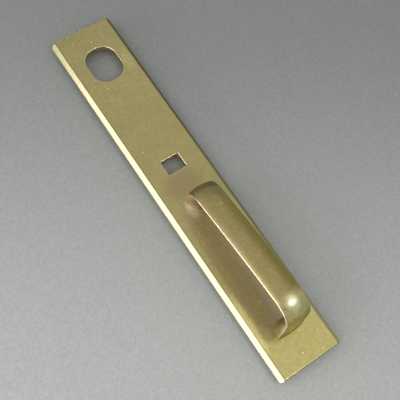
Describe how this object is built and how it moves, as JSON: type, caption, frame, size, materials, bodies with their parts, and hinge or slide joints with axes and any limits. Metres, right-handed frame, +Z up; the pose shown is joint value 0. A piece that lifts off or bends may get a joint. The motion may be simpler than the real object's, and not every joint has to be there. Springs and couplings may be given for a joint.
{
  "type": "door pull with backplate",
  "caption": "Brass door pull: a strap-like grip on a long bevelled backplate with a flat-sided cylinder hole and a slot for a thumb piece.",
  "frame": {"origin": "middle of the backplate's back face, where it lies on the door", "axes": "+X to the right along the plate's width, +Y back into the door, +Z up along the plate; the grip stands out towards -Y"},
  "size_m": [0.0572, 0.0593, 0.3364],
  "materials": {
    "backplate_brass": "satin, aged",
    "grip_brass": "satin, aged, rubbed bright on the edges",
    "screw_brass": "dull, aged"
  },
  "bodies": {
    "root": {"backplate": "backplate_brass", "grip": "grip_brass", "grip_screw_upper": "screw_brass", "grip_screw_lower": "screw_brass"}
  },
  "joints": []
}
